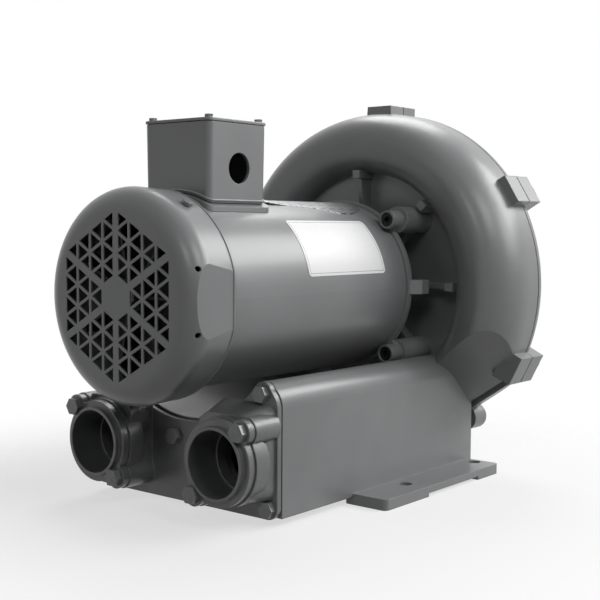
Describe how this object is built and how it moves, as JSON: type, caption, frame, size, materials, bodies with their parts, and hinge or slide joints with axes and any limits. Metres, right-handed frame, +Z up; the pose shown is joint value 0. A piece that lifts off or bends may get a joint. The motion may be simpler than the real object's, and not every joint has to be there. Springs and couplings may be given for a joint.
{
  "type": "side channel blower",
  "caption": "Direct-driven side channel blower: smooth fan-cooled motor, ring housing with bladed impeller, muffler box base, twin threaded ports.",
  "frame": {"origin": "centre of the four foot bolt holes, on the floor plane", "axes": "+Z up, +Y along the shaft from the fan cover to the blower cover, +X towards the side with the conduit entry"},
  "size_m": [0.359, 0.4253, 0.3785],
  "materials": {
    "housing_paint": "satin paint on cast aluminium",
    "motor_paint": "satin paint on steel",
    "iron_paint": "satin paint on sand-cast iron",
    "dark_gasket": "compressed fibre gasket",
    "zinc_bolts": "zinc-plated, painted over",
    "black_screws": "black oxide",
    "muffler_foam": "open-cell foam",
    "lamination_steel": "stacked sheet",
    "copper_winding": "varnished copper",
    "bearing_steel": "polished",
    "seal_rubber": "matte",
    "terminal_plastic": "moulded",
    "white_label": "bare vinyl label",
    "plate_metal": "bare brushed plate",
    "shaft_steel": "ground",
    "cast_aluminium": "as cast",
    "fan_plastic": "moulded"
  },
  "bodies": {
    "stand": {"blower_housing": "housing_paint", "seam_gasket": "dark_gasket", "blower_cover": "housing_paint", "cover_bolts": "zinc_bolts", "port_manifold": "iron_paint", "manifold_gasket": "dark_gasket", "manifold_bolts": "zinc_bolts", "left_port_collar": "iron_paint", "right_port_collar": "iron_paint", "collar_bolts": "zinc_bolts", "left_muffler_foam": "muffler_foam", "right_muffler_foam": "muffler_foam", "motor_shell": "motor_paint", "drive_end_bell": "housing_paint", "fan_end_bell": "motor_paint", "motor_screws": "black_screws", "stator_core": "lamination_steel", "stator_windings": "copper_winding", "fan_bearing_outer_ring": "bearing_steel", "drive_bearing_outer_ring": "bearing_steel", "shaft_seal": "seal_rubber", "fan_cover": "motor_paint", "fan_cover_screws": "zinc_bolts", "conduit_box": "motor_paint", "conduit_saddle": "motor_paint", "conduit_gasket": "dark_gasket", "conduit_lid": "motor_paint", "lid_gasket": "dark_gasket", "lid_screws": "zinc_bolts", "terminal_board": "terminal_plastic", "side_label": "white_label", "rating_plate": "plate_metal"},
    "rotor": {"shaft": "shaft_steel", "rotor_core": "lamination_steel", "rotor_end_rings": "cast_aluminium", "fan_bearing_inner_ring": "bearing_steel", "drive_bearing_inner_ring": "bearing_steel", "cooling_fan": "fan_plastic", "impeller": "cast_aluminium", "impeller_key": "shaft_steel", "impeller_washer": "shaft_steel", "impeller_bolt": "zinc_bolts"},
    "fan_bearing_set": {"fan_bearing_balls": "bearing_steel"},
    "drive_bearing_set": {"drive_bearing_balls": "bearing_steel"}
  },
  "joints": [
    {"name": "rotor_spin", "type": "hinge", "parent": "stand", "child": "rotor", "pos_m": [0, 0, 0.1905], "axis": [0, 1, 0], "continuous": true},
    {"name": "fan_bearing_roll", "type": "hinge", "parent": "stand", "child": "fan_bearing_set", "pos_m": [0, -0.25, 0.1905], "axis": [0, 1, 0], "continuous": true},
    {"name": "drive_bearing_roll", "type": "hinge", "parent": "stand", "child": "drive_bearing_set", "pos_m": [0, 0.002, 0.1905], "axis": [0, 1, 0], "continuous": true}
  ],
  "couplings": [
    {"joint": "fan_bearing_roll", "follows": "rotor_spin", "ratio": 0.381},
    {"joint": "drive_bearing_roll", "follows": "rotor_spin", "ratio": 0.396}
  ]
}
